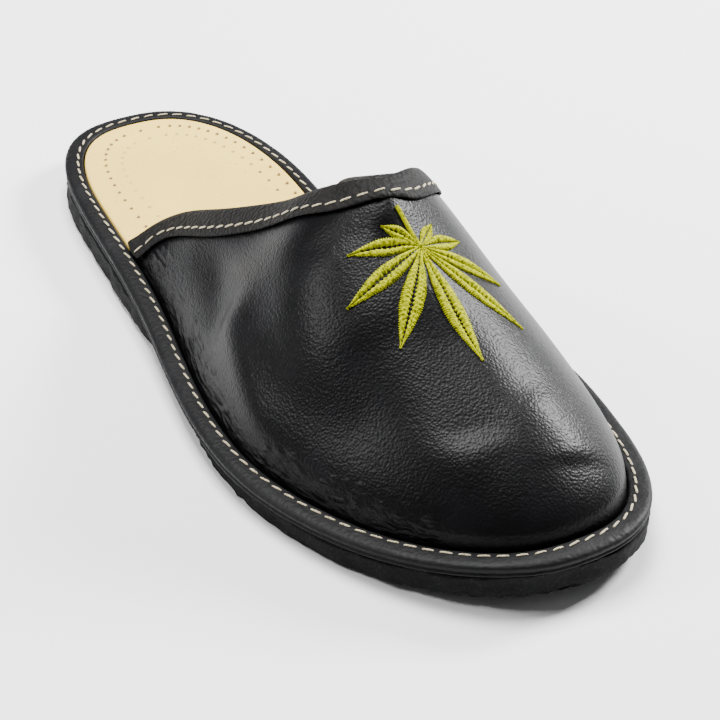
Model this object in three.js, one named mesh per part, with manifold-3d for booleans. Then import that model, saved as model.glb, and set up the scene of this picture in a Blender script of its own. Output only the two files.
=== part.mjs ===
import * as THREE from 'three';
import { mergeVertices } from 'three/addons/utils/BufferGeometryUtils.js';
import Module from 'manifold-3d';

// A backless leather slipper for the right foot, in millimetres, +X to the toe, +Y to the big toe side, +Z up.
// Driving sizes: the last, measured along the stitch line of the rand.
const STITCH_LENGTH = 254.6;
const BALL_WIDTH = 102;
const INSTEP_HEIGHT = 64;

// Heights above the floor.
const HEEL_SEAT = 12.8;
const BALL_SEAT = 9.5;
const TOE_SEAT = 15.6;
const ARCH_LIFT = 1.4;
const TOE_SPRING = 4;

// Rand: the strip wrapped round the edge of the sole board.
const RAND_HEIGHT = 4.3;
const RAND_OVERHANG = 4.75;
const RAND_INNER_STRIP = 1.9;
const RAND_ROLL_DROP = 1.9;
const RAND_GROOVE_DEPTH = 0.8;
const RAND_EDGE_ROUND = 0.5;

// Outsole: how far its edge stands from the stitch line, and how far the waist is cut back.
const OUTSOLE_OVERHANG = 4.2;
const OUTSOLE_FLARE = 0.35;
const WAIST_RECESS_OUTER = 3.2;
const WAIST_RECESS_INNER = 0.8;
const OUTSOLE_EDGE_BEVEL = 0.7;
const OUTSOLE_WALL_TURN = 0.55;

// Stations between which the waist is cut back and the arch is lifted, and where the toe spring begins.
const WAIST_SPAN = [0.36, 0.48, 0.52, 0.62];
const ARCH_SPAN = [0.24, 0.36, 0.48, 0.6];
const SPRING_START = 0.78;
const SPRING_LIMIT = 1.1;

// Insole, upper, collar binding and leaf.
const INSOLE_CROWN = 0.6;
const INSOLE_EDGE_ROUND = 0.8;
const INSOLE_CROWN_FOOT = 9;
const INSOLE_CROWN_TOP = 20;
const FEATHER_INSET = 2.2;
const UPPER_WALL = 2;
const BINDING_WIDTH = 8.7;
const BINDING_THICKNESS = 0.8;
const BINDING_GAP = 0.55;
const BINDING_FOLD = 1.25;
const SOLE_MARGIN = 40;
const LEAF_CUT_DEPTH = 60;
const LEAF_LENGTH = 36.5;
const LEAF_RELIEF = 0.8;
const CLEARANCE = 0.3;

// The outline of the last by station, from heel to toe. middle and half are shares of the ball width.
// half is measured before the ends are rounded.
const OUTLINE = {
  columns: ['station', 'middle', 'half'],
  rows: [
    [0.0, 0.054, 0.470],
    [0.1, 0.046, 0.428],
    [0.2, 0.029, 0.387],
    [0.3, -0.002, 0.355],
    [0.4, -0.031, 0.352],
    [0.5, -0.034, 0.406],
    [0.6, -0.028, 0.476],
    [0.7, -0.021, 0.531],
    [0.8, -0.018, 0.541],
    [0.9, -0.004, 0.537],
    [1.0, 0.015, 0.510],
  ],
};
const END_ROUNDNESS = 2.6;

// Height of the seat between its three named heights: 1 at the heel's, 0 at the ball's; toe likewise.
const SEAT = {
  columns: ['station', 'heel', 'toe'],
  rows: [
    [0.0, 1.0, 0.0],
    [0.2, 1.0, 0.0],
    [0.3, 0.86, 0.0],
    [0.4, 0.42, 0.0],
    [0.5, 0.08, 0.0],
    [0.6, 0.0, 0.0],
    [0.75, 0.0, 0.04],
    [0.85, 0.0, 0.22],
    [0.93, 0.0, 0.55],
    [1.0, 0.0, 1.0],
  ],
};

// Sections of the upper. height is a share of the instep height before the toe is rounded,
// lean a share of the ball width towards the big toe side, side and crown are the section's roundness.
const SECTIONS = {
  columns: ['station', 'height', 'lean', 'side', 'crown'],
  rows: [
    [0.2, 0.12, 0.240, 1.75, 1.85],
    [0.3, 0.44, 0.220, 1.68, 1.90],
    [0.4, 0.66, 0.150, 1.60, 1.92],
    [0.5, 0.85, 0.150, 1.58, 1.75],
    [0.6, 0.97, 0.045, 1.56, 1.56],
    [0.7, 0.79, -0.018, 1.58, 1.58],
    [0.8, 0.61, 0.000, 1.62, 1.62],
    [0.9, 0.47, 0.000, 1.71, 1.74],
    [1.0, 0.34, 0.000, 1.80, 1.85],
  ],
};
const TOE_ROUND_START = 10;
const TOE_ROUND_POWER = 0.6;

// The top line of the upper by angle, from the outer side over the instep to the inner side.
// turn is a share of the half turn, reach a share of the stitch length from the heel.
const COLLAR = {
  columns: ['turn', 'reach'],
  rows: [
    [0.0, 0.270],
    [0.15, 0.320],
    [0.32, 0.535],
    [0.5, 0.619],
    [0.68, 0.552],
    [0.85, 0.352],
    [1.0, 0.345],
  ],
};

// Leaflets of the embroidered leaf, from the outer side to the inner side. turn is in degrees from the
// middle leaflet, reach and width are shares of the leaf's length.
const LEAFLETS = {
  columns: ['turn', 'reach', 'width'],
  rows: [
    [-132, 0.31, 0.09],
    [-104, 0.49, 0.13],
    [-67, 0.67, 0.15],
    [-33, 0.83, 0.16],
    [0, 1.0, 0.17],
    [38, 0.96, 0.16],
    [67, 0.78, 0.15],
    [98, 0.48, 0.13],
    [131, 0.29, 0.09],
  ],
};
const STEM = { turn: -166, reach: 0.3, width: 0.035 };

// Half the outline of a leaflet, from its root: shares of its reach and of its width.
const LEAFLET_FORM = [
  [0.16, 0.2],
  [0.34, 0.42],
  [0.58, 0.5],
  [0.82, 0.27],
];
const LEAFLET_ROOT = 0.05;

// Where the leaf sits on the upper: station, turn past the instep in radians, and turn of the leaf in degrees.
const LEAF_PLACE = { station: 0.694, across: 0.169, turn: -4 };

// Fineness of the meshes: steps round the outline, round and along the upper, and over the leaf.
const RING_STEPS = 40;
const AROUND = 56;
const ALONG = 24;
const ROW_CROWDING = 1.6;
const LEAF_ALONG = 14;
const LEAF_AROUND = 18;
const WELD = 1e-4;
const NORMAL_STEP = 0.004;
const WALK_STEP = 0.002;
const WALK_COUNT = 4;
const WALK_EDGE = 0.02;

const wasm = await Module();
wasm.setup();

function reader(table) {
  const stations = table.rows.map((row) => row[0]);
  const values = table.rows.flatMap((row) => row.slice(1));
  const spline = new THREE.CubicInterpolant(stations, values, table.columns.length - 1);
  const last = stations[stations.length - 1];
  return (at) => {
    const found = spline.evaluate(THREE.MathUtils.clamp(at, stations[0], last));
    return Object.fromEntries(table.columns.slice(1).map((name, i) => [name, found[i]]));
  };
}

const outlineAt = reader(OUTLINE);
const seatAt = reader(SEAT);
const sectionAt = reader(SECTIONS);
const collarAt = reader(COLLAR);

function spaced(from, to, count) {
  return Array.from({ length: count + 1 }, (_, i) => from + ((to - from) * i) / count);
}

function seatHeight(x) {
  const { heel, toe } = seatAt(x / STITCH_LENGTH);
  return BALL_SEAT + (HEEL_SEAT - BALL_SEAT) * heel + (TOE_SEAT - BALL_SEAT) * toe;
}

// A point of the outline moved out by a distance. side is 1 on the big toe side and -1 on the other.
function outlinePoint(station, side, out) {
  const { middle, half } = outlineAt(station);
  const round = Math.sqrt(Math.max(4 * station * (1 - station), 0)) ** (2 / END_ROUNDNESS);
  return {
    x: -out + (STITCH_LENGTH + 2 * out) * station,
    y: middle * BALL_WIDTH + side * (half * BALL_WIDTH + out) * round,
  };
}

function meshGeometry(points, triangles) {
  const geometry = new THREE.BufferGeometry();
  geometry.setAttribute('position', new THREE.Float32BufferAttribute(points.flat(), 3));
  geometry.setIndex(triangles.flat());
  return mergeVertices(geometry, WELD);
}

// Rings round the outline, each given by out(station, side) and height(x). The first and last are closed
// by strips across the sole, or joined to each other to leave the middle open.
function ringSolid(rings, open = false) {
  const points = [];
  const count = 2 * RING_STEPS;
  for (const { out, height } of rings) {
    for (let i = 0; i < count; i += 1) {
      const side = i <= RING_STEPS ? 1 : -1;
      const step = i <= RING_STEPS ? i : count - i;
      const station = (1 - Math.cos((Math.PI * step) / RING_STEPS)) / 2;
      const { x, y } = outlinePoint(station, side, out(station, side));
      points.push([x, y, height(x)]);
    }
  }
  const triangles = [];
  const joins = open ? rings.length : rings.length - 1;
  for (let r = 0; r < joins; r += 1) {
    const lower = r * count;
    const upper = ((r + 1) % rings.length) * count;
    for (let i = 0; i < count; i += 1) {
      const j = (i + 1) % count;
      triangles.push([lower + i, upper + i, upper + j], [lower + i, upper + j, lower + j]);
    }
  }
  if (!open) {
    const top = (rings.length - 1) * count;
    for (let i = 0; i < RING_STEPS; i += 1) {
      const a = i;
      const b = i + 1;
      const c = (count - i - 1) % count;
      const d = (count - i) % count;
      const corners = [[a, b, c], [a, c, d]].filter((t) => new Set(t).size === 3);
      for (const [p, q, r] of corners) {
        triangles.push([p, q, r], [top + r, top + q, top + p]);
      }
    }
  }
  return meshGeometry(points, triangles);
}

// Rises from 0 to 1 over the span's first two stations and falls back over its last two
function bump(span, station) {
  const rise = THREE.MathUtils.smoothstep(station, span[0], span[1]);
  return rise * (1 - THREE.MathUtils.smoothstep(station, span[2], span[3]));
}

// Outsole
function makeOutsole() {
  const recess = (side) => (side > 0 ? WAIST_RECESS_INNER : WAIST_RECESS_OUTER);
  const edge = (extra) => (station, side) => OUTSOLE_OVERHANG + extra - bump(WAIST_SPAN, station) * recess(side);
  const floor = (x) => {
    const station = x / STITCH_LENGTH;
    const spring = Math.max(station - SPRING_START, 0) / (1 - SPRING_START);
    return ARCH_LIFT * bump(ARCH_SPAN, station) + TOE_SPRING * Math.min(spring, SPRING_LIMIT) ** 2;
  };
  const top = (x) => seatHeight(x) - RAND_HEIGHT - CLEARANCE;
  const middle = (x) => floor(x) + OUTSOLE_WALL_TURN * (top(x) - floor(x));
  return ringSolid([
    { out: edge(OUTSOLE_FLARE - OUTSOLE_EDGE_BEVEL), height: floor },
    { out: edge(OUTSOLE_FLARE), height: (x) => floor(x) + OUTSOLE_EDGE_BEVEL },
    { out: edge(0), height: middle },
    { out: edge(0), height: top },
  ]);
}

// Rand: a rolled upper edge, a groove and the wrapped lower edge
function makeRand() {
  const at = (out, drop) => ({ out: () => out, height: (x) => seatHeight(x) - drop });
  const roll = RAND_OVERHANG;
  const round = RAND_EDGE_ROUND;
  return ringSolid([
    at(-RAND_INNER_STRIP, RAND_HEIGHT),
    at(roll - 2.6 * round, RAND_HEIGHT),
    at(roll - round, RAND_HEIGHT - 0.5 * round),
    at(roll - 0.5 * round, RAND_HEIGHT - 1.7 * round),
    at(roll - RAND_GROOVE_DEPTH, RAND_ROLL_DROP + 1.8 * round),
    at(roll - 0.6 * round, RAND_ROLL_DROP + 0.9 * round),
    at(roll, RAND_ROLL_DROP - 0.4 * round),
    at(roll - 0.6 * round, 1.9 * round),
    at(roll - 2.4 * round, 0.7 * round),
    at(roll - 5.6 * round, 0.16 * round),
    at(0, 0),
    at(-RAND_INNER_STRIP, 0),
  ], true);
}

// Insole: a sock with rounded edge and a slight crown
function makeInsole() {
  const edge = -(RAND_INNER_STRIP + CLEARANCE);
  const at = (inset, lift) => ({ out: () => edge - inset, height: (x) => seatHeight(x) + lift });
  return ringSolid([
    at(0, -RAND_HEIGHT),
    at(0, -INSOLE_EDGE_ROUND),
    at(0.3 * INSOLE_EDGE_ROUND, -0.3 * INSOLE_EDGE_ROUND),
    at(INSOLE_EDGE_ROUND, 0),
    at(INSOLE_CROWN_FOOT, 0.5 * INSOLE_CROWN),
    at(INSOLE_CROWN_TOP, INSOLE_CROWN),
  ]);
}

// Upper: a section across the last at a station, by angle from the outer side to the inner side
function upperPoint(station, angle) {
  const { height, lean, side, crown } = sectionAt(station);
  const outer = outlinePoint(station, -1, -FEATHER_INSET);
  const inner = outlinePoint(station, 1, -FEATHER_INSET);
  const rounding = Math.max(1 - Math.max(station, 0) ** TOE_ROUND_START, 0) ** TOE_ROUND_POWER;
  const across = Math.cos(angle);
  const rise = Math.abs(Math.sin(angle)) ** (2 / crown);
  const half = (inner.y - outer.y) / 2;
  const spread = Math.sign(across) * Math.abs(across) ** (2 / side);
  return new THREE.Vector3(
    outer.x,
    (inner.y + outer.y) / 2 - half * spread + lean * BALL_WIDTH * rounding * rise,
    seatHeight(outer.x) + CLEARANCE + height * INSTEP_HEIGHT * rounding * rise,
  );
}

function upperNormal(station, angle) {
  const step = NORMAL_STEP;
  const near = THREE.MathUtils.clamp(station, step, 1 - step);
  const turn = THREE.MathUtils.clamp(angle, 2 * step, Math.PI - 2 * step);
  const along = upperPoint(near + step, turn).sub(upperPoint(near - step, turn));
  const around = upperPoint(near, turn + step).sub(upperPoint(near, turn - step));
  return along.cross(around).normalize();
}

// The surface moved out along its own normal. At the foot it only moves sideways, so the foot stays level.
function shellPoint(station, angle, out) {
  const normal = upperNormal(station, angle);
  const foot = Math.min(angle, Math.PI - angle) < 1e-6 || station > 0.999;
  if (foot) {
    normal.z = 0;
    normal.normalize();
  }
  const point = upperPoint(station, angle).addScaledVector(normal, out);
  point.z = Math.max(point.z, seatHeight(point.x) + CLEARANCE);
  return point;
}

function collarStation(angle) {
  return collarAt(angle / Math.PI).reach;
}

function makeUpper() {
  const points = [];
  for (const out of [0, -UPPER_WALL]) {
    for (let i = 0; i < ALONG; i += 1) {
      const share = Math.sin((Math.PI / 2) * (i / ALONG) ** ROW_CROWDING);
      for (const angle of spaced(0, Math.PI, AROUND)) {
        const start = collarStation(angle);
        points.push(shellPoint(start + (1 - start) * share, angle, out).toArray());
      }
    }
    const toe = upperPoint(1, 0);
    points.push([toe.x + out, toe.y, toe.z]);
  }
  const triangles = [];
  const quad = (a, b, c, d) => triangles.push([a, b, c], [a, c, d]);
  const layerSize = ALONG * (AROUND + 1) + 1;
  const ends = [layerSize - 1, 2 * layerSize - 1];
  const get = (layer, i, j) => (i === ALONG ? ends[layer] : layer * layerSize + i * (AROUND + 1) + j);
  for (let j = 0; j < AROUND; j += 1) {
    for (let i = 0; i < ALONG - 1; i += 1) {
      quad(get(0, i, j), get(0, i + 1, j), get(0, i + 1, j + 1), get(0, i, j + 1));
      quad(get(1, i, j), get(1, i, j + 1), get(1, i + 1, j + 1), get(1, i + 1, j));
    }
    triangles.push([get(0, ALONG - 1, j), ends[0], get(0, ALONG - 1, j + 1)]);
    triangles.push([get(1, ALONG - 1, j), get(1, ALONG - 1, j + 1), ends[1]]);
    quad(get(0, 0, j), get(0, 0, j + 1), get(1, 0, j + 1), get(1, 0, j));
  }
  for (let i = 0; i < ALONG; i += 1) {
    quad(get(0, i, 0), get(1, i, 0), get(1, i + 1, 0), get(0, i + 1, 0));
    quad(get(0, i, AROUND), get(0, i + 1, AROUND), get(1, i + 1, AROUND), get(1, i, AROUND));
  }
  return meshGeometry(points, triangles);
}

function solidOf(geometry) {
  const plain = mergeVertices(geometry, WELD);
  return new wasm.Manifold(new wasm.Mesh({
    numProp: 3,
    vertProperties: new Float32Array(plain.attributes.position.array),
    triVerts: new Uint32Array(plain.index.array),
  }));
}

function geometryOf(solid) {
  const { vertProperties, triVerts } = solid.getMesh();
  const geometry = new THREE.BufferGeometry();
  geometry.setAttribute('position', new THREE.Float32BufferAttribute(vertProperties, 3));
  geometry.setIndex(Array.from(triVerts));
  return geometry;
}

// Binding: a strip folded over the top line, swept round the collar
function walkForward(station, angle, distance) {
  const small = WALK_STEP;
  let at = station;
  let turn = angle;
  for (let k = 0; k < WALK_COUNT; k += 1) {
    const clampedTurn = THREE.MathUtils.clamp(turn, WALK_EDGE, Math.PI - WALK_EDGE);
    const here = upperPoint(at, clampedTurn);
    const alongStep = upperPoint(at + small, clampedTurn).sub(here).divideScalar(small);
    const aroundStep = upperPoint(at, clampedTurn + small).sub(here).divideScalar(small);
    const edge = collarStation(clampedTurn + small) - collarStation(clampedTurn - small);
    const tangent = aroundStep.clone().addScaledVector(alongStep, edge / (2 * small)).normalize();
    const normal = upperNormal(at, clampedTurn);
    const forward = tangent.clone().cross(normal).normalize();
    if (forward.x < 0) forward.negate();
    forward.multiplyScalar(distance / WALK_COUNT);
    const aa = alongStep.dot(alongStep);
    const ab = alongStep.dot(aroundStep);
    const bb = aroundStep.dot(aroundStep);
    const fa = forward.dot(alongStep);
    const fb = forward.dot(aroundStep);
    const det = aa * bb - ab * ab;
    at += (fa * bb - fb * ab) / det;
    turn += (fb * aa - fa * ab) / det;
  }
  return { station: at, angle: THREE.MathUtils.clamp(turn, 0, Math.PI) };
}

function makeBinding() {
  const outside = BINDING_GAP;
  const inside = -UPPER_WALL - BINDING_GAP;
  const profile = [
    [BINDING_WIDTH, outside],
    [BINDING_WIDTH, outside + 0.6 * BINDING_THICKNESS],
    [BINDING_WIDTH - 0.4 * BINDING_FOLD, outside + BINDING_THICKNESS],
    [BINDING_WIDTH / 2, outside + BINDING_THICKNESS],
    [0.24 * BINDING_FOLD, outside + BINDING_THICKNESS],
    [-0.72 * BINDING_FOLD, outside + 0.2 * BINDING_THICKNESS],
    [-BINDING_FOLD, -UPPER_WALL / 2],
    [-0.72 * BINDING_FOLD, inside - 0.2 * BINDING_THICKNESS],
    [0.24 * BINDING_FOLD, inside - BINDING_THICKNESS],
    [BINDING_WIDTH / 2, inside - BINDING_THICKNESS],
    [BINDING_WIDTH, inside - BINDING_THICKNESS],
    [BINDING_WIDTH, inside],
    [BINDING_WIDTH / 2, inside],
    [-BINDING_GAP, inside],
    [-BINDING_GAP, outside],
    [BINDING_WIDTH / 2, outside],
  ];
  const points = [];
  for (const place of spaced(0, Math.PI, AROUND)) {
    const angle = THREE.MathUtils.clamp(place, WALK_EDGE, Math.PI - WALK_EDGE);
    for (const [forward, out] of profile) {
      const spot = walkForward(collarStation(angle), angle, forward);
      const normal = upperNormal(spot.station, spot.angle);
      points.push(upperPoint(spot.station, spot.angle).addScaledVector(normal, out).toArray());
    }
  }
  const size = profile.length;
  const triangles = [];
  for (let j = 0; j < AROUND; j += 1) {
    for (let k = 0; k < size; k += 1) {
      const next = (k + 1) % size;
      const a = j * size + k;
      const b = j * size + next;
      const c = (j + 1) * size + next;
      const d = (j + 1) * size + k;
      triangles.push([a, c, b], [a, d, c]);
    }
  }
  const flat = profile.map(([u, v]) => new THREE.Vector2(u, v));
  for (const [a, b, c] of THREE.ShapeUtils.triangulateShape(flat, [])) {
    const last = AROUND * size;
    triangles.push([a, b, c], [last + a, last + c, last + b]);
  }
  // its two ends stop level, just over the sole
  const below = ringSolid([
    { out: () => SOLE_MARGIN, height: () => -SOLE_MARGIN },
    { out: () => SOLE_MARGIN, height: (x) => seatHeight(x) + 2 * CLEARANCE },
  ]);
  return geometryOf(solidOf(meshGeometry(points, triangles)).subtract(solidOf(below)));
}

// Leaf: its outline driven through the upper, kept between two larger forms of the upper's surface
function leafOutline() {
  const point = (turn, reach, offset) => {
    const direction = THREE.MathUtils.degToRad(turn + LEAF_PLACE.turn);
    const u = reach * Math.cos(direction) - offset * Math.sin(direction);
    const v = reach * Math.sin(direction) + offset * Math.cos(direction);
    return new THREE.Vector2(u * LEAF_LENGTH, v * LEAF_LENGTH);
  };
  const points = [point(STEM.turn, STEM.reach, STEM.width)];
  for (const [turn, reach, width] of LEAFLETS.rows) {
    const half = LEAFLET_FORM.map(([share, breadth]) => [Math.max(LEAFLET_ROOT, share * reach), breadth * width]);
    points.push(...half.map(([along, beside]) => point(turn, along, -beside)));
    points.push(point(turn, reach, 0));
    points.push(...half.toReversed().map(([along, beside]) => point(turn, along, beside)));
  }
  points.push(point(STEM.turn, STEM.reach, -STEM.width));
  return points;
}

function slabOver(stations, turns, low, high) {
  const points = [];
  [low, high].forEach((out) => {
    stations.forEach((station) => turns.forEach((angle) => {
      const normal = upperNormal(station, angle);
      points.push(upperPoint(station, angle).addScaledVector(normal, out).toArray());
    }));
  });
  const wide = turns.length;
  const layer = stations.length * wide;
  const triangles = [];
  const quad = (a, b, c, d) => triangles.push([a, b, c], [a, c, d]);
  for (let i = 0; i < stations.length - 1; i += 1) {
    for (let j = 0; j < wide - 1; j += 1) {
      const a = i * wide + j;
      quad(layer + a, layer + a + wide, layer + a + wide + 1, layer + a + 1);
      quad(a, a + 1, a + wide + 1, a + wide);
    }
  }
  for (let j = 0; j < wide - 1; j += 1) {
    const b = (stations.length - 1) * wide + j;
    quad(j, layer + j, layer + j + 1, j + 1);
    quad(b, b + 1, layer + b + 1, layer + b);
  }
  for (let i = 0; i < stations.length - 1; i += 1) {
    const a = i * wide;
    const b = a + wide - 1;
    quad(a, a + wide, layer + a + wide, layer + a);
    quad(b, layer + b, layer + b + wide, b + wide);
  }
  return meshGeometry(points, triangles);
}

function makeLeaf() {
  const { station, across } = LEAF_PLACE;
  const middle = Math.PI / 2 + across;
  const centre = upperPoint(station, middle);
  const normal = upperNormal(station, middle);
  const ahead = upperPoint(station + 0.06, middle).sub(centre);
  ahead.addScaledVector(normal, -ahead.dot(normal)).normalize();
  const sideways = normal.clone().cross(ahead);
  const options = { depth: LEAF_CUT_DEPTH, bevelEnabled: false };
  const prism = new THREE.ExtrudeGeometry(new THREE.Shape(leafOutline()), options);
  prism.deleteAttribute('normal');
  prism.deleteAttribute('uv');
  prism.translate(0, 0, -0.75 * LEAF_CUT_DEPTH);
  prism.applyMatrix4(new THREE.Matrix4().makeBasis(ahead, sideways, normal).setPosition(centre));
  const slab = slabOver(
    spaced(station - 0.08, station + 0.18, LEAF_ALONG),
    spaced(0.2 * Math.PI, 0.8 * Math.PI, LEAF_AROUND),
    CLEARANCE,
    CLEARANCE + LEAF_RELIEF,
  );
  return geometryOf(solidOf(prism).intersect(solidOf(slab)));
}

const FINISHES = {
  outsole: { color: 0x1b1b1c, roughness: 0.85 },
  rand: { color: 0x2a2a2c, roughness: 0.6 },
  insole: { color: 0xecd6ad, roughness: 0.8 },
  upper: { color: 0x141416, roughness: 0.42 },
  collar_binding: { color: 0x1a191b, roughness: 0.65 },
  leaf_embroidery: { color: 0xc6cf0a, roughness: 0.55 },
};

const MAKERS = {
  outsole: makeOutsole,
  rand: makeRand,
  insole: makeInsole,
  upper: makeUpper,
  collar_binding: makeBinding,
  leaf_embroidery: makeLeaf,
};

const slipper = new THREE.Group();
for (const [name, make] of Object.entries(MAKERS)) {
  const mesh = new THREE.Mesh(make(), new THREE.MeshStandardMaterial({ ...FINISHES[name], metalness: 0 }));
  mesh.name = name;
  slipper.add(mesh);
}

// The origin is under the middle of the whole slipper, on the floor.
const box = new THREE.Box3().setFromObject(slipper);
const centre = box.getCenter(new THREE.Vector3());
slipper.position.set(-centre.x, -centre.y, -box.min.z);

export default slipper;
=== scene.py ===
import math
import random

import bpy
from mathutils import Matrix, Vector, noise
from mathutils.kdtree import KDTree


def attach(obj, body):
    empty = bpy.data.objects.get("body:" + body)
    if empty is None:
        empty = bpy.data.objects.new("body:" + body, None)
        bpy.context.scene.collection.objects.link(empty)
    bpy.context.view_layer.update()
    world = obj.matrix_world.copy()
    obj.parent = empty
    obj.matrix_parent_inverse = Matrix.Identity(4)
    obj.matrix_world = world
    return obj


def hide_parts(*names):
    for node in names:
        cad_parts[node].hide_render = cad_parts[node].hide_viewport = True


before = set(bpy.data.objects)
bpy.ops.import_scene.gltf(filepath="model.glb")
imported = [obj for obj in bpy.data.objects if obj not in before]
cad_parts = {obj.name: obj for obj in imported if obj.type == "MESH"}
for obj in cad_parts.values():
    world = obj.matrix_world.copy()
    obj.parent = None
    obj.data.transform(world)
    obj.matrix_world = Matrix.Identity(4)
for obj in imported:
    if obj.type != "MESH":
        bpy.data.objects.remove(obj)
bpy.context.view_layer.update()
MM = 0.001

# Camera
# It looks down on the slipper's outer side from in front, rolled a little as the picture is.
# The slipper fills the frame, and there is no shift.
CAMERA_PLACE = (0.47264, -0.29994, 0.37428)
CAMERA_RIGHT = Vector((0.5329, 0.8449, 0.0458))
CAMERA_BACK = Vector((0.6872, -0.4637, 0.5592))
CAMERA_LENS = 114.86
SENSOR_WIDTH = 36

camera_up = CAMERA_BACK.cross(CAMERA_RIGHT).normalized()
turn = Matrix((CAMERA_RIGHT.normalized(), camera_up, CAMERA_BACK.normalized())).transposed().to_4x4()
bpy.ops.object.camera_add()
camera = bpy.context.object
camera.name = "camera"
camera.matrix_world = Matrix.Translation(CAMERA_PLACE) @ turn
camera.data.lens = CAMERA_LENS
camera.data.sensor_width = SENSOR_WIDTH
bpy.context.scene.camera = camera

# Studio
# A pale table with a dull top, under three softboxes: one above the heel, one on the inner side, and one
# behind the outer side. A weak even light fills the shadows.
FLOOR_SIDE = 6.0
SOFTBOXES = {
    "light_above": {"place": (-0.35, 0.05, 1.25), "aim": (0.02, 0.0, 0.03), "size": 0.65, "power": 44},
    "light_inner": {"place": (-0.09, 1.01, 0.64), "aim": (0.08, 0.0, 0.03), "size": 0.32, "power": 36},
    "light_outer": {"place": (-0.40, -0.82, 0.76), "aim": (0.02, 0.0, 0.03), "size": 0.3, "power": 10},
}
FILL_COLOUR, FILL_LIGHT = (1.0, 1.0, 1.0, 1.0), 0.15
TABLE_COLOUR = (0.93, 0.93, 0.94, 1.0)
TABLE_PATCHES = (0.95, 0.95, 0.95, 1.0)

bpy.ops.mesh.primitive_plane_add(size=FLOOR_SIDE)
floor = bpy.context.object
floor.name = "floor"
for name, box in SOFTBOXES.items():
    aim = Vector(box["aim"]) - Vector(box["place"])
    turned = aim.to_track_quat("-Z", "Y").to_euler()
    bpy.ops.object.light_add(type="AREA", location=box["place"], rotation=turned)
    light = bpy.context.object
    light.name = name
    light.data.size = box["size"]
    light.data.energy = box["power"]
world = bpy.data.worlds.new("studio")
bpy.context.scene.world = world
world.use_nodes = True
world.node_tree.nodes["Background"].inputs["Color"].default_value = FILL_COLOUR
world.node_tree.nodes["Background"].inputs["Strength"].default_value = FILL_LIGHT


class Wire:
    """A socket of a material's node tree. Sums, differences and products of wires add Math nodes."""

    def __init__(self, tree, socket=None):
        self.tree = tree
        self.socket = socket

    def node(self, kind, settings=None, sockets=None, output=0):
        made = self.tree.nodes.new(kind)
        for name, value in (settings or {}).items():
            if name == "stops":
                for stop, (place, level) in zip(made.color_ramp.elements, value):
                    stop.position = place
                    stop.color = (level, level, level, 1.0)
            else:
                setattr(made, name, value)
        for name, value in (sockets or {}).items():
            if isinstance(value, Wire):
                self.tree.links.new(value.socket, made.inputs[name])
            else:
                made.inputs[name].default_value = value
        return Wire(self.tree, made.outputs[output])

    def maths(self, operation, a, b):
        return self.node("ShaderNodeMath", {"operation": operation}, {0: a, 1: b})

    def __add__(self, other):
        return self.maths("ADD", self, other)

    __radd__ = __add__

    def __sub__(self, other):
        return self.maths("SUBTRACT", self, other)

    def __mul__(self, other):
        return self.maths("MULTIPLY", self, other)

    __rmul__ = __mul__

    def ramp(self, *stops):
        """Grey between two stops, each (place, level)."""
        return self.node("ShaderNodeValToRGB", {"stops": stops}, {"Fac": self})

    def blend(self, first, second):
        """first where this wire is 0, second where it is 1."""
        return self.node("ShaderNodeMix", {"data_type": "RGBA"}, {0: self, 6: first, 7: second}, 2)


def finish(name, **constants):
    """A new material, the wire that its nodes start from, and its shader."""
    material = bpy.data.materials.new(name)
    material.use_nodes = True
    shader = material.node_tree.nodes["Principled BSDF"]
    for socket, value in constants.items():
        shader.inputs[socket.replace("_", " ")].default_value = value
    start = Wire(material.node_tree).node("ShaderNodeTexCoord", output=3)
    return material, start, shader


def feed(shader, **wires):
    """Leads each wire to the shader's socket of that name."""
    for socket, wire in wires.items():
        wire.tree.links.new(wire.socket, shader.inputs[socket.replace("_", " ")])


def bumped(height, distance, strength=1.0):
    """A normal raised by a height, over a distance in metres."""
    sockets = {"Height": height, "Distance": distance, "Strength": strength}
    return height.node("ShaderNodeBump", None, sockets)


def cloudy(start, scale, detail=2.0, roughness=0.5, output=0):
    """Soft light and dark patches; detail adds smaller ones, and roughness makes those stronger."""
    sockets = {"Vector": start, "Scale": scale, "Detail": detail, "Roughness": roughness}
    return start.node("ShaderNodeTexNoise", None, sockets, output)


material, start, shader = finish("table_top", Roughness=0.9)
cloud = cloudy(start, 3.0)
feed(shader, Base_Color=cloud.blend(TABLE_COLOUR, TABLE_PATCHES))
floor.data.materials.append(material)

# Outsole
# A sheet of black micro-rubber, cemented under the board and cut round it with a knife, which leaves its
# side rough. On the outer side the cut runs in under the rand from the waist on.
RUBBER_COLOUR = (0.004, 0.004, 0.0043, 1.0)
RUBBER_DUST = (0.018, 0.018, 0.019, 1.0)
TRIM_SCALE, TRIM_DEPTH = 150.0, 0.7
FINE_TRIM = 0.6
SIDE_FACING = 0.5
OUTER_CUT = {"from": (-0.005, 0.02), "to": (0.045, 0.075), "depth": 2.2, "ahead": 0.8}
MERGED_WITHIN = 0.00002
SHARP_EDGE = math.radians(50)
QUAD_BEND, QUAD_SKEW = math.radians(35), math.radians(60)


def ramped(value, start, full):
    """How far a value has come from start to full, held between 0 and 1."""
    return min(max((value - start) / (full - start), 0.0), 1.0)


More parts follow.
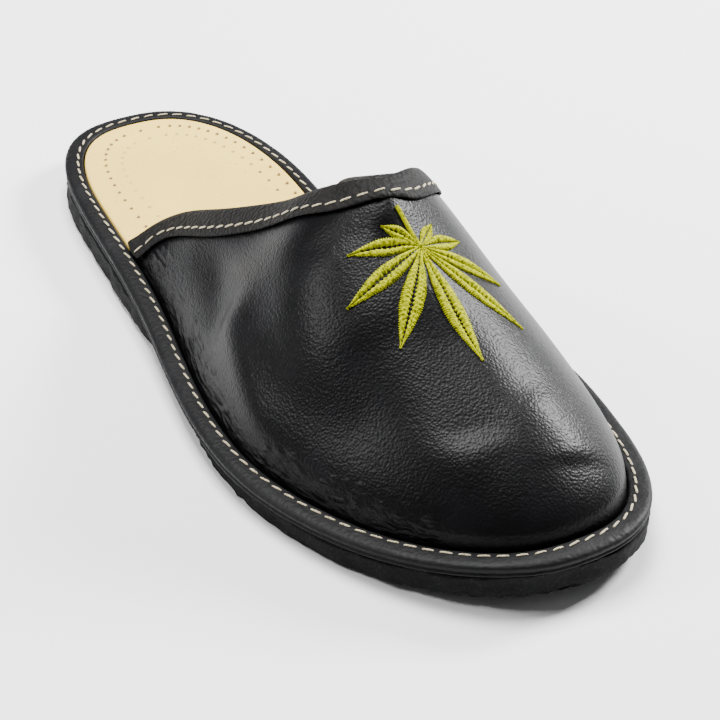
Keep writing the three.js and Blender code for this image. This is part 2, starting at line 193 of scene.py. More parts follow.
def copy_of(node, name, levels, keep):
    """A merged copy of a CAD node, rounded by subdivision. keep is how sharp its edges stay."""
    bpy.ops.object.select_all(action="DESELECT")
    piece = bpy.data.objects.new(name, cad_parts[node].data.copy())
    bpy.context.scene.collection.objects.link(piece)
    piece.data.materials.clear()
    bpy.context.view_layer.objects.active = piece
    piece.select_set(True)
    bpy.ops.object.mode_set(mode="EDIT")
    bpy.ops.mesh.select_all(action="SELECT")
    bpy.ops.mesh.remove_doubles(threshold=MERGED_WITHIN)
    bpy.ops.mesh.tris_convert_to_quads(face_threshold=QUAD_BEND, shape_threshold=QUAD_SKEW)
    bpy.ops.mesh.select_all(action="DESELECT")
    bpy.ops.mesh.select_mode(type="EDGE")
    bpy.ops.mesh.edges_select_sharp(sharpness=SHARP_EDGE)
    bpy.ops.transform.edge_crease(value=keep)
    bpy.ops.object.mode_set(mode="OBJECT")
    rounding = piece.modifiers.new("rounding", "SUBSURF")
    rounding.levels = rounding.render_levels = levels
    bpy.ops.object.modifier_apply(modifier="rounding")
    bpy.ops.object.shade_smooth_by_angle(angle=SHARP_EDGE)
    return piece


outsole = copy_of("outsole", "outsole_rubber", 2, 0.9)
for vertex in outsole.data.vertices:
    out = Vector((vertex.normal.x, vertex.normal.y, 0.0))
    if out.length > SIDE_FACING:
        rough = noise.noise(vertex.co * TRIM_SCALE) + FINE_TRIM * noise.noise(vertex.co * 3 * TRIM_SCALE)
        vertex.co += out * rough * TRIM_DEPTH * MM
        if vertex.co.y < 0:
            enter = ramped(vertex.co.x, *OUTER_CUT["from"])
            leave = ramped(vertex.co.x, *OUTER_CUT["to"])
            cut = enter * (OUTER_CUT["depth"] - (OUTER_CUT["depth"] - OUTER_CUT["ahead"]) * leave)
            vertex.co -= out * cut * MM
material, start, shader = finish("micro_rubber", Specular_IOR_Level=0.14)
specks = cloudy(start, 1400.0)
trim = cloudy(start, 90.0, 5.0, 0.7)
feed(
    shader,
    Base_Color=specks.ramp((0.55, 0.0), (0.8, 1.0)).blend(RUBBER_COLOUR, RUBBER_DUST),
    Roughness=0.72 + 0.2 * trim,
    Normal=bumped(specks * 0.35 + trim, 0.0006, 0.8),
)
outsole.data.materials.append(material)
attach(outsole, "root")
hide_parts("outsole")

# Rand
# A strip of black leather wrapped round the edge of the board, and sewn down with one row of cream thread.
# Its seam follows the last's outline, in mm: stations are shares of its length, the middle and half width
# are shares of its ball width, and the seat lies between its heel, ball and toe heights.
STITCH_LENGTH = 254.6
BALL_WIDTH = 102.0
LAST_PLACE = (-127.3, 2.19)
HEEL_SEAT, BALL_SEAT, TOE_SEAT = 12.8, 9.5, 15.6
OUTLINE = [
    # station, middle, half width
    (0.0, 0.054, 0.470),
    (0.1, 0.046, 0.428),
    (0.2, 0.029, 0.387),
    (0.3, -0.002, 0.355),
    (0.4, -0.031, 0.352),
    (0.5, -0.034, 0.406),
    (0.6, -0.028, 0.476),
    (0.7, -0.021, 0.531),
    (0.8, -0.018, 0.541),
    (0.9, -0.004, 0.537),
    (1.0, 0.015, 0.510),
]
SEAT = [
    # station, share of the heel's height, share of the toe's
    (0.0, 1.0, 0.0),
    (0.2, 1.0, 0.0),
    (0.3, 0.86, 0.0),
    (0.4, 0.42, 0.0),
    (0.5, 0.08, 0.0),
    (0.6, 0.0, 0.0),
    (0.75, 0.0, 0.04),
    (0.85, 0.0, 0.22),
    (0.93, 0.0, 0.55),
    (1.0, 0.0, 1.0),
]
END_ROUNDNESS = 2.6
STITCH_PITCH = 4.8
STITCH = {"length": 3.4, "width": 0.64, "height": 0.45, "dip": 0.28}
STITCH_SLANT, STITCH_SWAY = 9.0, 3
STITCH_LONGER, STITCH_HIGHER = (0.93, 1.05), (0.9, 1.1)
RAND_STITCH_SEAT = 0.12
RAND_WAVE = {"height": 0.06, "along": 61, "beat": 23}
RAND_STEPS = 400
RAND_COLOUR = (0.005, 0.005, 0.0055, 1.0)
RAND_WORN = (0.014, 0.014, 0.015, 1.0)
THREAD_COLOUR = (0.52, 0.46, 0.30, 1.0)
THREAD_SHADE = (0.27, 0.22, 0.13, 1.0)


def read_table(rows, at):
    """The row at a station, on a smooth curve through the table's rows."""
    at = min(max(at, rows[0][0]), rows[-1][0])
    after = next(i for i in range(1, len(rows)) if at <= rows[i][0])
    start_row, end_row = rows[after - 1], rows[after]
    before_row = rows[after - 2] if after > 1 else None
    next_row = rows[after + 1] if after + 1 < len(rows) else None
    gap = end_row[0] - start_row[0]
    share = (at - start_row[0]) / gap
    values = []
    for column in range(1, len(start_row)):
        rise = end_row[column] - start_row[column]
        slope_in = slope_out = rise
        if before_row:
            slope_in = (end_row[column] - before_row[column]) * gap / (end_row[0] - before_row[0])
        if next_row:
            slope_out = (next_row[column] - start_row[column]) * gap / (next_row[0] - start_row[0])
        turn_in = slope_in + slope_out - 2 * rise
        turn_out = 3 * rise - 2 * slope_in - slope_out
        values.append(start_row[column] + share * (slope_in + share * (turn_out + share * turn_in)))
    return values


def seat_height(x):
    """The height of the last's seat, in mm, at a distance from the heel."""
    heel, toe = read_table(SEAT, x / STITCH_LENGTH)
    return BALL_SEAT + (HEEL_SEAT - BALL_SEAT) * heel + (TOE_SEAT - BALL_SEAT) * toe


def outline_point(station, side, out):
    """A point of the last's outline moved out, in mm from the heel. side is 1 at the big toe."""
    middle, half = read_table(OUTLINE, station)
    rounding = max(4 * station * (1 - station), 0) ** (1 / END_ROUNDNESS)
    x = -out + (STITCH_LENGTH + 2 * out) * station
    y = middle * BALL_WIDTH + side * (half * BALL_WIDTH + out) * rounding
    return Vector((x, y, seat_height(x)))


def placed(point):
    """A point given in mm from the heel of the last, in the scene's metres."""
    return Vector((point.x + LAST_PLACE[0], point.y + LAST_PLACE[1], point.z)) * MM


def measured(place):
    """A point given in the scene's metres, in mm from the heel of the last."""
    return place / MM - Vector((*LAST_PLACE, 0.0))


def plan_of(vertex):
    """Where a vertex stands on the last's plan, in mm from the heel."""
    return vertex.co.x / MM - LAST_PLACE[0], vertex.co.y / MM - LAST_PLACE[1]


def spaced(path, pitch):
    """Places at an even pitch along a path of points, with the direction there."""
    lengths = [0.0]
    for a, b in zip(path, path[1:]):
        lengths.append(lengths[-1] + (b - a).length)
    count = round(lengths[-1] / pitch)
    found = []
    i = 0
    for k in range(count):
        target = (k + 0.5) * lengths[-1] / count
        while lengths[i + 1] < target:
            i += 1
        share = (target - lengths[i]) / (lengths[i + 1] - lengths[i])
        found.append((path[i].lerp(path[i + 1], share), (path[i + 1] - path[i]).normalized()))
    return found


def joined(pieces, name):
    """The pieces as one object of that name."""
    bpy.ops.object.select_all(action="DESELECT")
    for piece in pieces:
        piece.select_set(True)
    bpy.context.view_layer.objects.active = pieces[0]
    bpy.ops.object.join()
    whole = bpy.context.object
    whole.name = name
    return whole


def repeated(first, moves, name):
    """Copies of a shape, each moved by its own list of matrices, as one object in place of the first."""
    copies = []
    for matrices in moves:
        piece = first.copy()
        piece.data = first.data.copy()
        for matrix in matrices:
            piece.data.transform(matrix)
        bpy.context.scene.collection.objects.link(piece)
        copies.append(piece)
    bpy.data.objects.remove(first)
    return joined(copies, name)


def sew(name, places, seed):
    """A row of stitches, shaped once and copied to each place: (point, direction, normal) in mm."""
    chance = random.Random(seed)
    bpy.ops.object.select_all(action="DESELECT")
    bpy.ops.mesh.primitive_uv_sphere_add(segments=8, ring_count=8, radius=0.5)
    first = bpy.context.object
    bpy.ops.object.mode_set(mode="EDIT")
    bpy.ops.mesh.select_all(action="SELECT")
    bpy.ops.transform.rotate(value=math.pi / 2, orient_axis="Y", center_override=(0, 0, 0))
    bpy.ops.object.mode_set(mode="OBJECT")
    for vertex in first.data.vertices:
        x, y, z = vertex.co * 2
        full = (1 - x**4) ** 0.25 if abs(x) < 1 else 0.0
        round_now = max((1 - x * x) ** 0.5, 1e-6) if abs(x) < 1 else 1.0
        y, z = y / round_now * full, z / round_now * full
        dip = STITCH["dip"] * STITCH["height"] * x**4
        vertex.co = (x * STITCH["length"] / 2, y * STITCH["width"] / 2, z * STITCH["height"] / 2 - dip)
    moves = []
    for point, along, normal in places:
        across = normal.cross(along).normalized()
        ahead = across.cross(normal).normalized()
        basis = Matrix((ahead, across, normal)).transposed().to_4x4()
        slant = STITCH_SLANT + chance.uniform(-STITCH_SWAY, STITCH_SWAY)
        sway = Matrix.Rotation(math.radians(slant), 4, "Z")
        longer = Matrix.Diagonal((chance.uniform(*STITCH_LONGER), 1, chance.uniform(*STITCH_HIGHER), 1))
        there = Matrix.Translation(point + Vector((*LAST_PLACE, 0.0)))
        moves.append((basis @ sway @ longer, there, Matrix.Scale(MM, 4)))
    row = repeated(first, moves, name)
    bpy.ops.object.shade_smooth()
    row.data.materials.append(thread)
    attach(row, "root")
    return row


rand = copy_of("rand", "rand_leather", 2, 0.3)
for vertex in rand.data.vertices:
    x, y = plan_of(vertex)
    station = ramped(x, 0.0, STITCH_LENGTH)
    wave = math.sin(station * RAND_WAVE["along"]) * math.sin(station * RAND_WAVE["beat"] + y)
    vertex.co.z += RAND_WAVE["height"] * MM * wave
leather_rand, start, shader = finish("rand_leather", Specular_IOR_Level=0.12)
pores = start.node("ShaderNodeTexVoronoi", {"feature": "SMOOTH_F1"}, {"Vector": start, "Scale": 900.0})
wear = cloudy(start, 70.0, 6.0, 0.65)
feed(
    shader,
    Base_Color=wear.ramp((0.5, 0.0), (0.78, 0.6)).blend(RAND_COLOUR, RAND_WORN),
    Roughness=0.4 + 0.25 * wear,
    Normal=bumped(pores * 0.5 + wear * 0.25, 0.0005, 0.6),
)
rand.data.materials.append(leather_rand)
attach(rand, "root")
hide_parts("rand")

thread, start, shader = finish("cream_thread", Roughness=0.6, Specular_IOR_Level=0.3, Sheen_Weight=0.3)
plies = cloudy(start, 1700.0)
feed(
    shader,
    Base_Color=plies.ramp((0.35, 0.0), (0.6, 1.0)).blend(THREAD_SHADE, THREAD_COLOUR),
    Normal=bumped(plies, 0.0003, 0.8),
)
stations = [(1 - math.cos(math.pi * i / RAND_STEPS)) / 2 for i in range(RAND_STEPS + 1)]
ring = [outline_point(station, -1, 0.0) for station in stations]
ring += [outline_point(station, 1, 0.0) for station in stations[-2::-1]]
up = Vector((0, 0, 1))
places = [(point + up * RAND_STITCH_SEAT, along, up) for point, along in spaced(ring, STITCH_PITCH)]
rand_stitches = sew("rand_stitches", places, 3)

# Insole
# A sock of pale pigskin over thin padding, glued to the board inside the rand. It is pricked with two rows
# of holes round the heel, and tucked down and in at its edge, where the upper covers it.
INSOLE_COLOUR = (0.80, 0.57, 0.13, 1.0)
INSOLE_SHADE = (0.73, 0.50, 0.10, 1.0)
PORE_COLOUR = (0.38, 0.25, 0.13, 1.0)
# The prick holes are dark brown discs: partly painted shade down each hole, partly the pricked leather's
# own darker edge.
PRICK_PAINTED_SHADE = (0.17, 0.11, 0.06, 1.0)
PRICK_EDGE_AND_PAINTED_SHADE = (0.3, 0.2, 0.1, 1.0)
PRICK_ROWS = [
    {"outer": 11.5, "inner": 6.0, "reach": 0.25, "count": 33},
    {"outer": 17.8, "inner": 12.0, "reach": 0.22, "count": 27},
]
PRICK_BUNCHING = 1.7
PRICK_RADIUS, PRICK_HEIGHT, PRICK_RIM = 0.48, 0.3, 0.2
PRICK_LIFT = 0.372
FACING_UP = 0.9
TUCK_START = {-1: 71.0, 1: 89.0}
TUCK_WIDTH, TUCK_DEPTH, TUCK_IN = 4.0, 1.2, 1.5
TUCK_FULL = 20

insole = copy_of("insole", "insole_sock", 2, 0.3)
for vertex in insole.data.vertices:
    x, y = plan_of(vertex)
    side = 1 if y > 0 else -1
    station = (x - TUCK_WIDTH) / (STITCH_LENGTH - 2 * TUCK_WIDTH)
    covered = x > TUCK_START[side]
    if covered and (station > 1 or abs(y) > abs(outline_point(station, side, -TUCK_WIDTH).y)):
        vertex.co.z -= TUCK_DEPTH * MM
        vertex.co.y -= side * TUCK_IN * MM * ramped(abs(y), 0, TUCK_FULL)
        vertex.co.x -= TUCK_IN * MM * max(0.0, 2 * station - 1)
material, start, shader = finish("pigskin", Specular_IOR_Level=0.3)
soft = cloudy(start, 28.0, 5.0, 0.6)
shift = cloudy(start, 260.0, output=1)
place = start.node("ShaderNodeMix", {"data_type": "RGBA"}, {0: 0.006, 6: start, 7: shift}, 2)
pores = start.node("ShaderNodeTexVoronoi", None, {"Vector": place, "Scale": 420.0, "Randomness": 0.9})
grain = cloudy(start, 1300.0, 3.0)
pore = pores.ramp((0.1, 1.0), (0.17, 0.0))
tone = soft.ramp((0.35, 0.0), (0.7, 1.0)).blend(INSOLE_COLOUR, INSOLE_SHADE)
feed(
    shader,
    Base_Color=(pore * 0.35).blend(tone, PORE_COLOUR),
    Roughness=0.62 + 0.2 * soft,
    Normal=bumped(grain * 0.5 + soft - pore * 0.7, 0.0003, 0.5),
)
insole.data.materials.append(material)
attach(insole, "root")
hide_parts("insole")

pricks = []
for row in PRICK_ROWS:
    for k in range(row["count"]):
        share = 2 * k / (row["count"] - 1) - 1
        side = 1 if share > 0 else -1
        inset = row["outer"] + (row["inner"] - row["outer"]) * (share + 1) / 2
        station = row["reach"] * abs(share) ** PRICK_BUNCHING
        pricks.append(outline_point(station, side, -inset))
bpy.ops.object.select_all(action="DESELECT")
bpy.ops.mesh.primitive_cylinder_add(vertices=12, radius=PRICK_RADIUS * MM, depth=PRICK_HEIGHT * MM)
first = bpy.context.object
bpy.ops.object.mode_set(mode="EDIT")
bpy.ops.mesh.select_all(action="DESELECT")
bpy.ops.mesh.select_mode(type="FACE")
bpy.ops.object.mode_set(mode="OBJECT")
for face in first.data.polygons:
    face.select = face.normal.z > FACING_UP
bpy.ops.object.mode_set(mode="EDIT")
bpy.ops.mesh.inset(thickness=PRICK_RIM * MM)
bpy.ops.transform.translate(value=(0, 0, -PRICK_RIM * MM))
bpy.ops.object.mode_set(mode="OBJECT")
moves = [[Matrix.Translation(placed(point + up * PRICK_LIFT))] for point in pricks]
prick_rows = repeated(first, moves, "insole_pricks")
# Painted shade for the holes: two dark browns in random patches, standing for the shade inside each hole
# and the pricked edge's darker tone.
material, start, shader = finish("pricked_edge_painted_shade", Roughness=0.8)
dark = cloudy(start, 900.0)
feed(shader, Base_Color=dark.blend(PRICK_PAINTED_SHADE, PRICK_EDGE_AND_PAINTED_SHADE))
prick_rows.data.materials.append(material)
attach(prick_rows, "root")

# Upper
# One piece of black grained leather, lasted over the toe, lined with brown suede and open at the collar.
# Worn folds run from the collar's outer end round the vamp to the toe, and its foot is crinkled where it
# was drawn in. Places on it are (station, turn): the turn is 0 at the outer foot and 1 at the inner one.
INSTEP_HEIGHT = 64.0
FEATHER_INSET = 2.2
CLEARANCE = 0.3
TOE_ROUND_START, TOE_ROUND_POWER = 10, 0.6
SECTIONS = [
    # station, height, lean, how square the sides are, how square the crown is
    (0.2, 0.12, 0.240, 1.75, 1.85),
    (0.3, 0.44, 0.220, 1.68, 1.90),
    (0.4, 0.66, 0.150, 1.60, 1.92),
    (0.5, 0.85, 0.150, 1.58, 1.75),
    (0.6, 0.97, 0.045, 1.56, 1.56),
    (0.7, 0.79, -0.018, 1.58, 1.58),
    (0.8, 0.61, 0.000, 1.62, 1.62),
    (0.9, 0.47, 0.000, 1.71, 1.74),
    (1.0, 0.34, 0.000, 1.80, 1.85),
]
COLLAR = [
    # turn, station
    (0.0, 0.270),
    (0.15, 0.320),
    (0.32, 0.535),
    (0.5, 0.619),
    (0.68, 0.552),
    (0.85, 0.352),
    (1.0, 0.345),
]
FOLDS = [
    {"rise": -1.3, "width": 10.0, "path": [
        (0.47, 0.225), (0.58, 0.215), (0.63, 0.195), (0.675, 0.184), (0.716, 0.176), (0.77, 0.188),
        (0.843, 0.237), (0.91, 0.304)]},
    {"rise": 1.1, "width": 6.5, "path": [
        (0.54, 0.150), (0.571, 0.140), (0.618, 0.128), (0.653, 0.117), (0.70, 0.100), (0.76, 0.090)]},
    {"rise": -1.3, "width": 7.5, "path": [
        (0.38, 0.180), (0.43, 0.165), (0.48, 0.150), (0.53, 0.125), (0.57, 0.1)]},
    {"rise": 0.8, "width": 13.0, "path": [(0.63, 0.330), (0.672, 0.330), (0.713, 0.330), (0.77, 0.335)]},
    {"rise": -0.8, "width": 3.0, "path": [(0.662, 0.470), (0.68, 0.464), (0.705, 0.456)]},
    {"rise": -1.0, "width": 10.0, "path": [
        (0.735, 0.530), (0.797, 0.464), (0.843, 0.430), (0.88, 0.396), (0.91, 0.36)]},
    {"rise": 0.4, "width": 7.0, "path": [(0.80, 0.20), (0.85, 0.25), (0.90, 0.30), (0.935, 0.34)]},
    {"rise": 0.9, "width": 10.0, "path": [(0.86, 0.57), (0.90, 0.60), (0.93, 0.62), (0.955, 0.62)]},
]
FOLD_START, FOLD_FULL = 6.0, 20.0
FOLD_SAMPLES, COLLAR_SAMPLES = 24, 180
PUSH_FULL = 7.0
COLLAR_PUSHES = [
    {"push": (1.2, -0.7, -2.1), "width": 8.5, "place": (0.585, 0.390)},
    {"push": (-1.3, 0.6, 2.2), "width": 8.5, "place": (0.650, 0.500)},
]
LEATHER_COLOUR = (0.002, 0.002, 0.0024, 1.0)
LEATHER_WORN = (0.006, 0.006, 0.0075, 1.0)
LINING_END, LINING_EYE = 200.0, 8.0
LEATHER_FOOT = 1.3
FOOT_DROP, FOOT_REACH = 2.2, 4.0
CRINKLE_TOP, CRINKLE_FADE, CRINKLE_END, CRINKLE_INNER = 12.0, 9.0, 112.0, 0.35
LINING_COLOUR = (0.27, 0.19, 0.115, 1.0)
LINING_SHADE = (0.17, 0.115, 0.065, 1.0)


def upper_point(station, angle):
    """A point of the upper's outside, in mm from the heel. angle runs from the outer to the inner side."""
    height, lean, side, crown = read_table(SECTIONS, station)
    outer = outline_point(station, -1, -FEATHER_INSET)
    inner = outline_point(station, 1, -FEATHER_INSET)
    rounding = max(1 - max(station, 0) ** TOE_ROUND_START, 0) ** TOE_ROUND_POWER
    across = math.cos(angle)
    rise = abs(math.sin(angle)) ** (2 / crown)
    spread = math.copysign(abs(across) ** (2 / side), across)
    y = (inner.y + outer.y) / 2 - (inner.y - outer.y) / 2 * spread + lean * BALL_WIDTH * rounding * rise
    return Vector((outer.x, y, seat_height(outer.x) + CLEARANCE + height * INSTEP_HEIGHT * rounding * rise))


def upper_normal(station, angle, step=0.004):
    """The direction square to the upper, outwards, at a station and angle."""
    station = min(max(station, step), 1 - step)
    angle = min(max(angle, 2 * step), math.pi - 2 * step)
    along = upper_point(station + step, angle) - upper_point(station - step, angle)
    around = upper_point(station, angle + step) - upper_point(station, angle - step)
    return along.cross(around).normalized()


folds = []
collar_edge = KDTree(COLLAR_SAMPLES + 1)
for i in range(COLLAR_SAMPLES + 1):
    station = read_table(COLLAR, i / COLLAR_SAMPLES)[0]
    collar_edge.insert(upper_point(station, math.pi * i / COLLAR_SAMPLES), i)
collar_edge.balance()
pushes = [
    (Vector(push["push"]), upper_point(push["place"][0], push["place"][1] * math.pi), push["width"])
    for push in COLLAR_PUSHES
]
for fold in FOLDS:
    path = [(i, *pair) for i, pair in enumerate(fold["path"])]
    samples = FOLD_SAMPLES * (len(path) - 1)
    tree = KDTree(samples + 1)
    details = []
    for i in range(samples + 1):
        share = i / samples
        station, angle = read_table(path, share * (len(path) - 1))
        tree.insert(upper_point(station, angle * math.pi), i)
        taper = min(1.0, 4 * share, 4 * (1 - share))
        rise = fold["rise"] * taper * taper * (3 - 2 * taper)
        details.append((rise, upper_normal(station, angle * math.pi)))
    tree.balance()
    folds.append((tree, details, fold["width"]))


def folded(point):
    """A point near the upper, in mm from the heel, moved with its folds, which fade at the collar."""
    moved = point.copy()
    over = collar_edge.find(point)[2]
    clear = ramped(over, FOLD_START, FOLD_FULL)
    for tree, details, width in folds:
        _, index, distance = tree.find(point)
        rise, normal = details[index]
        moved += normal * rise * clear * math.exp(-((distance / width) ** 2))
    for push, place, width in pushes:
        reach = (point - place).length / width
        moved += push * ramped(over, 0, PUSH_FULL) * math.exp(-(reach**2))
    return moved


def fold_piece(piece):
    """Moves every vertex of a piece with the upper's folds."""
    for vertex in piece.data.vertices:
        vertex.co = placed(folded(measured(vertex.co)))


upper = copy_of("upper", "upper_leather", 2, 0.8)
fold_piece(upper)
crinkled = upper.data.attributes.new("crinkled", "FLOAT", "POINT")
for vertex in upper.data.vertices:
    over_seat = vertex.co.z / MM - seat_height(plan_of(vertex)[0])
    crinkled.data[vertex.index].value = (
        ramped(over_seat, CRINKLE_TOP, CRINKLE_TOP - CRINKLE_FADE)
        * ramped(vertex.co.x / MM, CRINKLE_END, CRINKLE_END - CRINKLE_FADE)
        * (1.0 if vertex.co.y < 0 else CRINKLE_INNER)
    )
    vertex.co.z -= FOOT_DROP * MM * max(0.0, 1 - over_seat / FOOT_REACH)
leather_upper, start, shader = finish("grained_leather", Specular_IOR_Level=0.11)
bend = cloudy(start, 500.0, output=1)
place = start.node("ShaderNodeMix", {"data_type": "RGBA"}, {0: 0.00025, 6: start, 7: bend}, 2)
pebble = start.node("ShaderNodeTexVoronoi", {"feature": "SMOOTH_F1"}, {"Vector": place, "Scale": 1450.0})
fine = cloudy(start, 1500.0, 3.0)
broad = cloudy(start, 55.0, 5.0, 0.6)
low = start.node("ShaderNodeAttribute", {"attribute_name": "crinkled"}, output=2)
drawn = start.node("ShaderNodeMapping", None, {"Vector": start, "Scale": (0.4, 0.7, 1.2)})
ridged = {"noise_type": "RIDGED_MULTIFRACTAL"}
crinkle = drawn.node("ShaderNodeTexNoise", ridged, {"Vector": drawn, "Scale": 420.0, "Detail": 2.0})
feed(
    shader,
    Base_Color=broad.ramp((0.5, 0.0), (0.85, 0.5)).blend(LEATHER_COLOUR, LEATHER_WORN),
    Roughness=0.30 + 0.10 * broad + 0.08 * pebble,
    Normal=bumped(pebble * -0.42 + fine * 0.08 + broad * 0.04 + low * crinkle * 4.0, 0.0006, 0.5),
)
lining, start, shader = finish("suede_lining", Roughness=0.9, Specular_IOR_Level=0.15, Sheen_Weight=0.4)
nap = cloudy(start, 600.0, 5.0, 0.7)
cloud = cloudy(start, 45.0, 4.0)
feed(
    shader,
    Base_Color=(nap * 0.5 + cloud * 0.5).ramp((0.35, 0.0), (0.65, 1.0)).blend(LINING_SHADE, LINING_COLOUR),
    Normal=bumped(nap, 0.0004, 0.7),
)
upper.data.materials.append(leather_upper)
upper.data.materials.append(lining)
for face in upper.data.polygons:
    point = measured(face.center)
    inside = Vector((min(point.x, LINING_END), 0.0, seat_height(point.x) + LINING_EYE))
    shown = face.normal.dot(point - inside) > 0 or point.z < seat_height(point.x) + LEATHER_FOOT
    face.material_index = 0 if shown else 1
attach(upper, "root")
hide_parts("upper")

# Collar binding
# A strip of thin black leather, folded over the top line of the upper and sewn through both its sides with
# one row of cream thread, so that stitches show outside and inside.
BINDING_SEAM = 6.0
BINDING_OUTSIDE = 1.35
BINDING_INSIDE = -3.4
BINDING_COLOUR = (0.005, 0.0045, 0.0043, 1.0)
BINDING_WORN = (0.017, 0.015, 0.014, 1.0)
COLLAR_STEPS, WALK_STEPS = 220, 4
SEAM_END, FOOT_MARGIN, WALK_MARGIN = 0.05, 0.03, 0.02
SEAM_EVENING = 12
STITCH_SEAT = 0.1
SMALL_STEP = 0.002


def slopes(station, angle):
    """The upper's point, and how it moves with the station and with the angle."""
    here = upper_point(station, angle)
    along = (upper_point(station + SMALL_STEP, angle) - here) / SMALL_STEP
    around = (upper_point(station, angle + SMALL_STEP) - here) / SMALL_STEP
    return here, along, around


def steps_for(move, along, around):
    """The steps in station and angle that move a point of the upper so."""
    aa, ab, bb = along.dot(along), along.dot(around), around.dot(around)
    fa, fb = move.dot(along), move.dot(around)
    determinant = aa * bb - ab * ab
    return (fa * bb - fb * ab) / determinant, (fb * aa - fa * ab) / determinant


def walk_forward(angle, distance):
    """The station and angle at a distance from the collar's edge, square to it over the upper."""
    station = read_table(COLLAR, angle / math.pi)[0]
    for _ in range(WALK_STEPS):
        at = min(max(angle, WALK_MARGIN), math.pi - WALK_MARGIN)
        _, along, around = slopes(station, at)
        before, after = (read_table(COLLAR, (at + step) / math.pi)[0] for step in (-SMALL_STEP, SMALL_STEP))
        tangent = (around + along * ((after - before) / (2 * SMALL_STEP))).normalized()
        forward = tangent.cross(upper_normal(station, at)).normalized()
        if forward.x < 0:
            forward.negate()
        further, turned = steps_for(forward * (distance / WALK_STEPS), along, around)
        station += further
        angle += turned
    return station, angle


binding = copy_of("collar_binding", "collar_strip", 1, 0.3)
fold_piece(binding)
material, start, shader = finish("binding_leather", Specular_IOR_Level=0.12)
pores = start.node("ShaderNodeTexVoronoi", {"feature": "SMOOTH_F1"}, {"Vector": start, "Scale": 850.0})
wear = cloudy(start, 120.0, 6.0, 0.7)
feed(
    shader,
    Base_Color=wear.ramp((0.5, 0.0), (0.8, 0.7)).blend(BINDING_COLOUR, BINDING_WORN),
    Roughness=0.55 + 0.2 * wear,
    Normal=bumped(pores + wear * 0.8, 0.0006, 0.8),
)
binding.data.materials.append(material)
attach(binding, "root")
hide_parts("collar_binding")

seams = {"collar_stitches": (BINDING_OUTSIDE, 5), "collar_stitches_inside": (BINDING_INSIDE, 6)}
for name, (out, seed) in seams.items():
    seam = []
    normals = []
    for i in range(COLLAR_STEPS + 1):
        angle = SEAM_END + (math.pi - 2 * SEAM_END) * i / COLLAR_STEPS
        station, turned = walk_forward(angle, BINDING_SEAM)
        turned = min(max(turned, FOOT_MARGIN), math.pi - FOOT_MARGIN)
        normal = upper_normal(station, turned)
        seam.append(folded(upper_point(station, turned) + normal * out))
        normals.append(normal if out > 0 else -normal)
    for _ in range(SEAM_EVENING):
        inner = [(a + b + c) / 3 for a, b, c in zip(seam, seam[1:], seam[2:])]
        seam = [seam[0], *inner, seam[-1]]
    places = []
    for point, along in spaced(seam, STITCH_PITCH):
        nearest = min(range(len(seam)), key=lambda i: (seam[i] - point).length_squared)
        _, on_strip, _, _ = binding.closest_point_on_mesh(placed(point))
        normal = normals[nearest]
        places.append((measured(on_strip) + normal * STITCH_SEAT, along, normal))
    collar_stitches = sew(name, places, seed)

# Leaf embroidery
# A leaf sewn through the upper in raised satin stitch, with yellow-green thread. Each leaflet is two rows
# of slanting threads along a sunk vein, one leaflet is pricked through, and the stem is a single row.
LEAF_LENGTH = 36.5
LEAF_STATION = 0.694
LEAF_ACROSS = 0.169
LEAF_TURN = -4.0
LEAF_RELIEF, LEAF_SEAT, LEAF_BACKING = 0.95, 0.12, 0.3
NARROW_RELIEF = 0.45
LEAF_AHEAD, LEAF_MARGIN, LEAF_STATIONS = 0.06, 0.3, (0.5, 0.97)
PLACING_ROUNDS = 5
LEAFLETS = [
    # turn in degrees, reach and width in shares of the leaf's length
    (-132, 0.31, 0.09),
    (-104, 0.49, 0.13),
    (-67, 0.67, 0.15),
    (-33, 0.83, 0.16),
    (0, 1.0, 0.17),
    (38, 0.96, 0.16),
    (67, 0.78, 0.15),
    (98, 0.48, 0.13),
    (131, 0.29, 0.09),
]
STEM = (-166, 0.30, 0.035)
LEAFLET_WIDTHS = [
    # share of the reach, share of the width
    (0.0, 0.12),
    (0.16, 0.42),
    (0.34, 0.84),
    (0.58, 1.0),
    (0.82, 0.56),
    (0.94, 0.2),
    (1.0, 0.04),
]
LEAFLET_COLUMNS, STEM_COLUMNS = 24, 6
LEAST_ROWS, ROWS_A_THREAD = 12, 3
EDGE_RAGGED, EDGE_SWAY = 0.10, 0.03
SATIN_PITCH = 0.62
SATIN_DEPTH = 0.11
SATIN_SLANT = 1.5
SATIN_COLOUR = (0.43, 0.45, 0.0, 1.0)
SATIN_SHADE = (0.10, 0.115, 0.0, 1.0)
VEIN, VEIN_BEAT, VEIN_SINK = 0.11, 0.6, 0.35
PRICKED = {"leaflet": -33, "from": 0.15, "to": 0.92, "spread": 0.35, "depth": 0.9}

leaf_angle = math.pi / 2 + LEAF_ACROSS
leaf_centre = upper_point(LEAF_STATION, leaf_angle)
leaf_normal = upper_normal(LEAF_STATION, leaf_angle)
leaf_ahead = upper_point(LEAF_STATION + LEAF_AHEAD, leaf_angle) - leaf_centre
leaf_ahead = (leaf_ahead - leaf_normal * leaf_ahead.dot(leaf_normal)).normalized()
leaf_aside = leaf_normal.cross(leaf_ahead)


def on_upper(flat):
    """The station and angle of the upper's point over a flat place of the leaf's own plane."""
    station, angle = LEAF_STATION, leaf_angle
    for _ in range(PLACING_ROUNDS):
        here, along, around = slopes(station, angle)
        miss = flat - here
        miss -= leaf_normal * miss.dot(leaf_normal)
        along -= leaf_normal * along.dot(leaf_normal)
        around -= leaf_normal * around.dot(leaf_normal)
        further, turned = steps_for(miss, along, around)
        station = min(max(station + further, LEAF_STATIONS[0]), LEAF_STATIONS[1])
        angle = min(max(angle + turned, LEAF_MARGIN), math.pi - LEAF_MARGIN)
    return station, angle


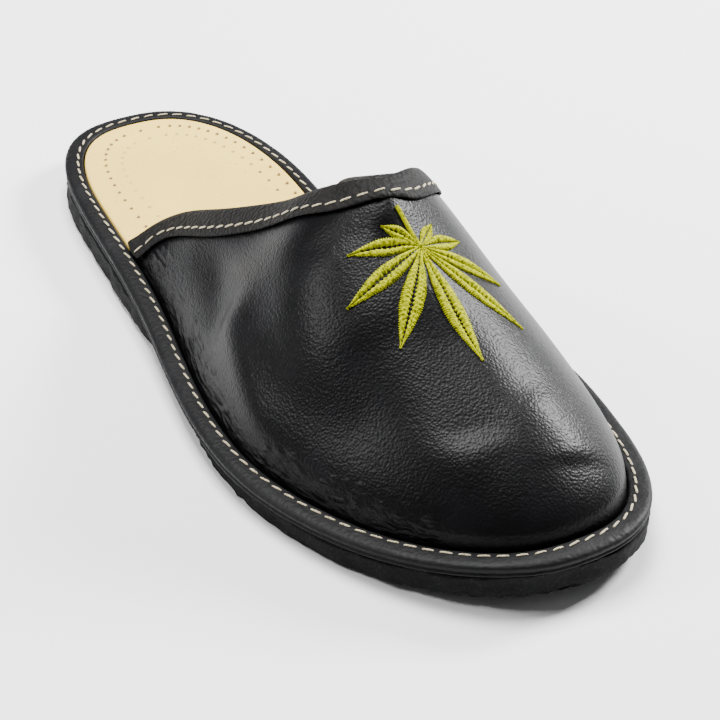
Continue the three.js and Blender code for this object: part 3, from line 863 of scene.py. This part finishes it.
chance = random.Random(11)
sewn = []
for turn, reach, width in [*LEAFLETS, STEM]:
    length = reach * LEAF_LENGTH
    is_stem = turn == STEM[0]
    rows = max(LEAST_ROWS, round(ROWS_A_THREAD * length / SATIN_PITCH))
    columns = STEM_COLUMNS if is_stem else LEAFLET_COLUMNS
    bpy.ops.object.select_all(action="DESELECT")
    bpy.ops.mesh.primitive_grid_add(x_subdivisions=rows, y_subdivisions=columns, size=2)
    leaflet = bpy.context.object
    direction = math.radians(turn + LEAF_TURN)
    sideways = chance.uniform(0, 6.28)
    for vertex in leaflet.data.vertices:
        share = (vertex.co.x + 1) / 2
        across = vertex.co.y
        rows_now = share * length / SATIN_PITCH + SATIN_SLANT * abs(across)
        ridge = math.cos(2 * math.pi * rows_now)
        vein = VEIN * (1 + VEIN_BEAT * math.cos(math.pi * rows_now))
        lane = across if is_stem else 2 * max(abs(across) - vein, 0.0) / (1 - vein) - 1
        ragged = 1 + EDGE_RAGGED * ridge * abs(across) ** 3 + EDGE_SWAY * math.sin(7 * rows_now + sideways)
        spread = 1.0 if is_stem else read_table(LEAFLET_WIDTHS, share)[0]
        half = spread * width * LEAF_LENGTH / 2 * ragged
        u, v = share * length, across * half
        flat = leaf_centre + leaf_ahead * (u * math.cos(direction) - v * math.sin(direction))
        flat += leaf_aside * (u * math.sin(direction) + v * math.cos(direction))
        station, angle = on_upper(flat)
        full = max(1 - lane * lane, 0.0) ** 0.5
        stuffed = LEAF_RELIEF * (NARROW_RELIEF + (1 - NARROW_RELIEF) * min(1.0, spread))
        relief = stuffed * full + SATIN_DEPTH * ridge * full
        if full == 0 and abs(across) < 0.9:
            relief -= VEIN_SINK
        if turn == PRICKED["leaflet"] and PRICKED["from"] < share < PRICKED["to"]:
            hole = math.cos(math.pi * rows_now) * math.cos(4 * math.pi * abs(across))
            relief -= PRICKED["depth"] * max(0.0, hole - PRICKED["spread"]) * full
        raised = upper_normal(station, angle) * (relief - LEAF_SEAT)
        vertex.co = placed(folded(upper_point(station, angle) + raised))
    sewn.append(leaflet)
leaf = joined(sewn, "leaf_satin")
backing = leaf.modifiers.new("backing", "SOLIDIFY")
backing.thickness = LEAF_BACKING * MM
backing.offset = -1
bpy.ops.object.modifier_apply(modifier="backing")
bpy.ops.object.shade_smooth()
material, start, shader = finish("satin_thread", Roughness=0.6, Specular_IOR_Level=0.02)
strands = cloudy(start, 1300.0, 3.0, 0.6)
feed(
    shader,
    Base_Color=strands.ramp((0.36, 0.0), (0.56, 1.0)).blend(SATIN_SHADE, SATIN_COLOUR),
    Normal=bumped(strands, 0.0003, 0.7),
)
leaf.data.materials.append(material)
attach(leaf, "root")
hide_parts("leaf_embroidery")
